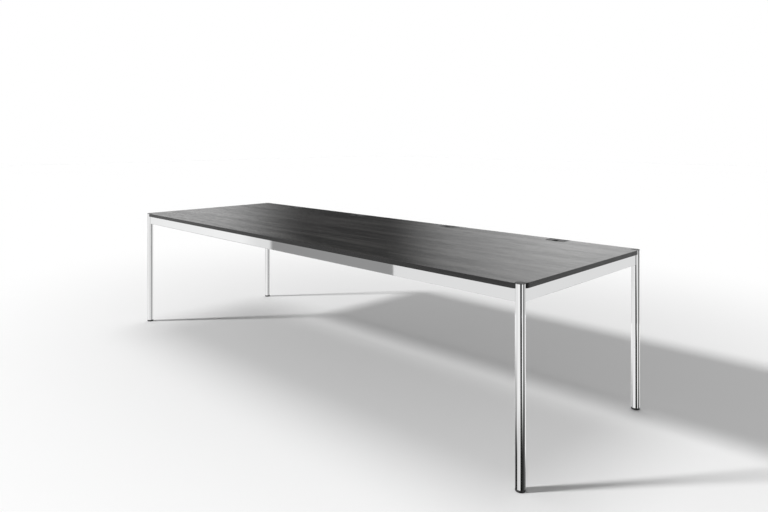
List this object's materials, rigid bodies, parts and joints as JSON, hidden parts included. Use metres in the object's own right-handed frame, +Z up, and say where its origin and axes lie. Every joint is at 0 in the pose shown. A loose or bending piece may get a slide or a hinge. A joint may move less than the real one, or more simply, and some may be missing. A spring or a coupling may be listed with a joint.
{
  "type": "modular table",
  "caption": "Long office table: dark wood top on a chrome rail frame, with round corner legs that rise through the top, levelling feet, and flap cable outlets along the rear edge.",
  "frame": {"origin": "on the floor, under the middle of the top", "axes": "+X along the table to its right end, +Y from the front edge to the rear edge with the outlets, +Z up"},
  "size_m": [3, 1, 0.74],
  "materials": {
    "stained_wood": "satin lacquer on black-stained wood",
    "chrome": "polished",
    "cap_plastic": "satin",
    "foot_plastic": "fine grained",
    "insert_plastic": "plain",
    "outlet_plastic": "fine grained",
    "cast_metal": "as cast",
    "coated_steel": "black powder coat",
    "zinc_steel": "bright zinc"
  },
  "bodies": {
    "table": {"tabletop": "stained_wood", "leg_tube_front_left": "chrome", "leg_cap_front_left": "cap_plastic", "leg_nut_block_front_left": "cast_metal", "foot_insert_front_left": "insert_plastic", "leg_tube_front_right": "chrome", "leg_cap_front_right": "cap_plastic", "leg_nut_block_front_right": "cast_metal", "foot_insert_front_right": "insert_plastic", "leg_tube_rear_left": "chrome", "leg_cap_rear_left": "cap_plastic", "leg_nut_block_rear_left": "cast_metal", "foot_insert_rear_left": "insert_plastic", "leg_tube_rear_right": "chrome", "leg_cap_rear_right": "cap_plastic", "leg_nut_block_rear_right": "cast_metal", "foot_insert_rear_right": "insert_plastic", "rail_front": "chrome", "rail_rear": "chrome", "rail_left": "chrome", "rail_right": "chrome", "cross_rail_left": "coated_steel", "cross_rail_right": "coated_steel", "connector_blocks": "cast_metal", "draw_studs": "zinc_steel", "locking_screws": "zinc_steel", "top_cleats": "coated_steel", "cross_rail_cleats": "coated_steel", "cleat_screws": "zinc_steel", "top_screws": "zinc_steel", "outlet_frame_left_outer": "outlet_plastic", "outlet_frame_left_inner": "outlet_plastic", "outlet_frame_right_inner": "outlet_plastic", "outlet_frame_right_outer": "outlet_plastic", "outlet_hinge_pins": "zinc_steel", "outlet_screws": "zinc_steel"},
    "pad_front_left": {"foot_pad_front_left": "foot_plastic"},
    "pad_front_right": {"foot_pad_front_right": "foot_plastic"},
    "pad_rear_left": {"foot_pad_rear_left": "foot_plastic"},
    "pad_rear_right": {"foot_pad_rear_right": "foot_plastic"},
    "stem_front_left": {"foot_stem_front_left": "zinc_steel"},
    "stem_front_right": {"foot_stem_front_right": "zinc_steel"},
    "stem_rear_left": {"foot_stem_rear_left": "zinc_steel"},
    "stem_rear_right": {"foot_stem_rear_right": "zinc_steel"},
    "flap_left_outer": {"outlet_flap_left_outer": "outlet_plastic"},
    "flap_left_inner": {"outlet_flap_left_inner": "outlet_plastic"},
    "flap_right_inner": {"outlet_flap_right_inner": "outlet_plastic"},
    "flap_right_outer": {"outlet_flap_right_outer": "outlet_plastic"}
  },
  "joints": [
    {"name": "foot_height_front_left", "type": "slide", "parent": "table", "child": "pad_front_left", "axis": [0, 0, -1], "range_m": [0, 0.015]},
    {"name": "foot_turn_front_left", "type": "hinge", "parent": "pad_front_left", "child": "stem_front_left", "pos_m": [-1.481, -0.481, 0.03], "axis": [0, 0, -1], "range_deg": [0, 3600]},
    {"name": "foot_height_front_right", "type": "slide", "parent": "table", "child": "pad_front_right", "axis": [0, 0, -1], "range_m": [0, 0.015]},
    {"name": "foot_turn_front_right", "type": "hinge", "parent": "pad_front_right", "child": "stem_front_right", "pos_m": [1.481, -0.481, 0.03], "axis": [0, 0, -1], "range_deg": [0, 3600]},
    {"name": "foot_height_rear_left", "type": "slide", "parent": "table", "child": "pad_rear_left", "axis": [0, 0, -1], "range_m": [0, 0.015]},
    {"name": "foot_turn_rear_left", "type": "hinge", "parent": "pad_rear_left", "child": "stem_rear_left", "pos_m": [-1.481, 0.481, 0.03], "axis": [0, 0, -1], "range_deg": [0, 3600]},
    {"name": "foot_height_rear_right", "type": "slide", "parent": "table", "child": "pad_rear_right", "axis": [0, 0, -1], "range_m": [0, 0.015]},
    {"name": "foot_turn_rear_right", "type": "hinge", "parent": "pad_rear_right", "child": "stem_rear_right", "pos_m": [1.481, 0.481, 0.03], "axis": [0, 0, -1], "range_deg": [0, 3600]},
    {"name": "flap_hinge_left_outer", "type": "hinge", "parent": "table", "child": "flap_left_outer", "pos_m": [-1.09, 0.49265, 0.73695], "axis": [-1, 0, 0], "range_deg": [0, 95]},
    {"name": "flap_hinge_left_inner", "type": "hinge", "parent": "table", "child": "flap_left_inner", "pos_m": [-0.39, 0.49265, 0.73695], "axis": [-1, 0, 0], "range_deg": [0, 95]},
    {"name": "flap_hinge_right_inner", "type": "hinge", "parent": "table", "child": "flap_right_inner", "pos_m": [0.39, 0.49265, 0.73695], "axis": [-1, 0, 0], "range_deg": [0, 95]},
    {"name": "flap_hinge_right_outer", "type": "hinge", "parent": "table", "child": "flap_right_outer", "pos_m": [1.09, 0.49265, 0.73695], "axis": [-1, 0, 0], "range_deg": [0, 95]}
  ],
  "couplings": [
    {"joint": "foot_turn_front_left", "follows": "foot_height_front_left", "rad_per_m": 4188.8},
    {"joint": "foot_turn_front_right", "follows": "foot_height_front_right", "rad_per_m": 4188.8},
    {"joint": "foot_turn_rear_left", "follows": "foot_height_rear_left", "rad_per_m": 4188.8},
    {"joint": "foot_turn_rear_right", "follows": "foot_height_rear_right", "rad_per_m": 4188.8}
  ]
}
